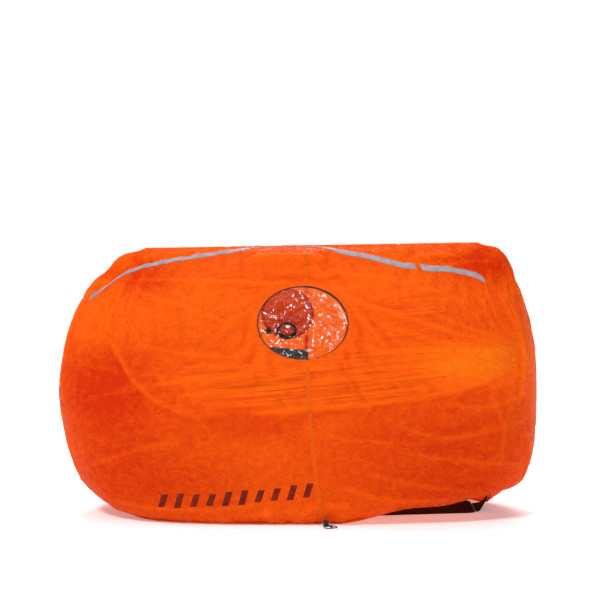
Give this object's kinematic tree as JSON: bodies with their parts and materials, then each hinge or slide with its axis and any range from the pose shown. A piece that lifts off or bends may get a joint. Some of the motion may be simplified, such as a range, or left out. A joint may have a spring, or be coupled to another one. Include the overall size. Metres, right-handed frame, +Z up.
{
  "type": "two-person emergency group shelter",
  "caption": "Light fabric cover pulled over two seated people, with a clear window, reflective strips, a tucked-in vent sleeve, a drawcord hem with a cord lock, and seat mats.",
  "frame": {"origin": "on the ground, under the middle of the shelter", "axes": "+X along the ridge, towards the higher end; +Y to the back, away from the window; +Z up"},
  "size_m": [1.4489, 0.5755, 0.8218],
  "materials": {
    "ripstop_fabric": "thin orange ripstop nylon with a light silicone sheen",
    "reflective_strip": "grey glass-bead retroreflective tape",
    "clear_film": "crinkled clear film",
    "black_webbing": "woven black binding tape",
    "black_cord": "braided black cord",
    "black_plastic": "moulded black plastic",
    "black_coated_fabric": "coated black seat fabric",
    "spring_steel": "bare spring wire"
  },
  "bodies": {
    "shelter": {"front_panel_left": "ripstop_fabric", "front_panel_right": "ripstop_fabric", "back_panel_left": "ripstop_fabric", "back_panel_right": "ripstop_fabric", "end_panel_left": "ripstop_fabric", "end_panel_right": "ripstop_fabric", "roof_panel": "ripstop_fabric", "reflective_strip_front": "reflective_strip", "reflective_strip_back": "reflective_strip", "front_seam_tape_lower": "ripstop_fabric", "front_seam_tape_upper": "ripstop_fabric", "back_seam_tape_lower": "ripstop_fabric", "back_seam_tape_upper": "ripstop_fabric", "window_pane": "clear_film", "window_binding": "black_webbing", "vent_collar": "ripstop_fabric", "vent_sleeve": "ripstop_fabric", "vent_mouth_band": "black_webbing", "hem_casing": "ripstop_fabric", "hem_drawcord": "black_cord", "hem_cord_tail": "black_cord", "vent_drawcord": "black_cord", "vent_cord_tail": "black_cord", "seat_skirt_left": "black_coated_fabric", "seat_skirt_right": "black_coated_fabric"},
    "hem_lock": {"hem_lock_body": "black_plastic", "hem_lock_spring": "spring_steel"},
    "hem_plunger": {"hem_lock_plunger": "black_plastic"},
    "vent_lock": {"vent_lock_body": "black_plastic", "vent_lock_spring": "spring_steel"},
    "vent_plunger": {"vent_lock_plunger": "black_plastic"},
    "mat_left": {"seat_mat_left": "black_coated_fabric"},
    "mat_right": {"seat_mat_right": "black_coated_fabric"}
  },
  "joints": [
    {"name": "hem_lock_slide", "type": "slide", "parent": "shelter", "child": "hem_lock", "axis": [0, 1, 0], "range_m": [0, 0.0075]},
    {"name": "hem_plunger_press", "type": "slide", "parent": "hem_lock", "child": "hem_plunger", "axis": [0, 0, -1], "range_m": [0, 0.002], "stiffness_N_per_m": 250, "springref_m": -0.002, "deforming": ["hem_lock_spring"]},
    {"name": "vent_lock_slide", "type": "slide", "parent": "shelter", "child": "vent_lock", "axis": [1, 0, 0], "range_m": [0, 0.008]},
    {"name": "vent_plunger_press", "type": "slide", "parent": "vent_lock", "child": "vent_plunger", "axis": [0, 0, -1], "range_m": [0, 0.002], "stiffness_N_per_m": 250, "springref_m": -0.002, "deforming": ["vent_lock_spring"]},
    {"name": "seat_mat_left_fold", "type": "hinge", "parent": "shelter", "child": "mat_left", "pos_m": [-0.445, 0, 0.0025], "axis": [0, -1, 0], "range_deg": [0, 80]},
    {"name": "seat_mat_right_fold", "type": "hinge", "parent": "shelter", "child": "mat_right", "pos_m": [0.545, 0, 0.0025], "axis": [0, 1, 0], "range_deg": [0, 80]}
  ]
}
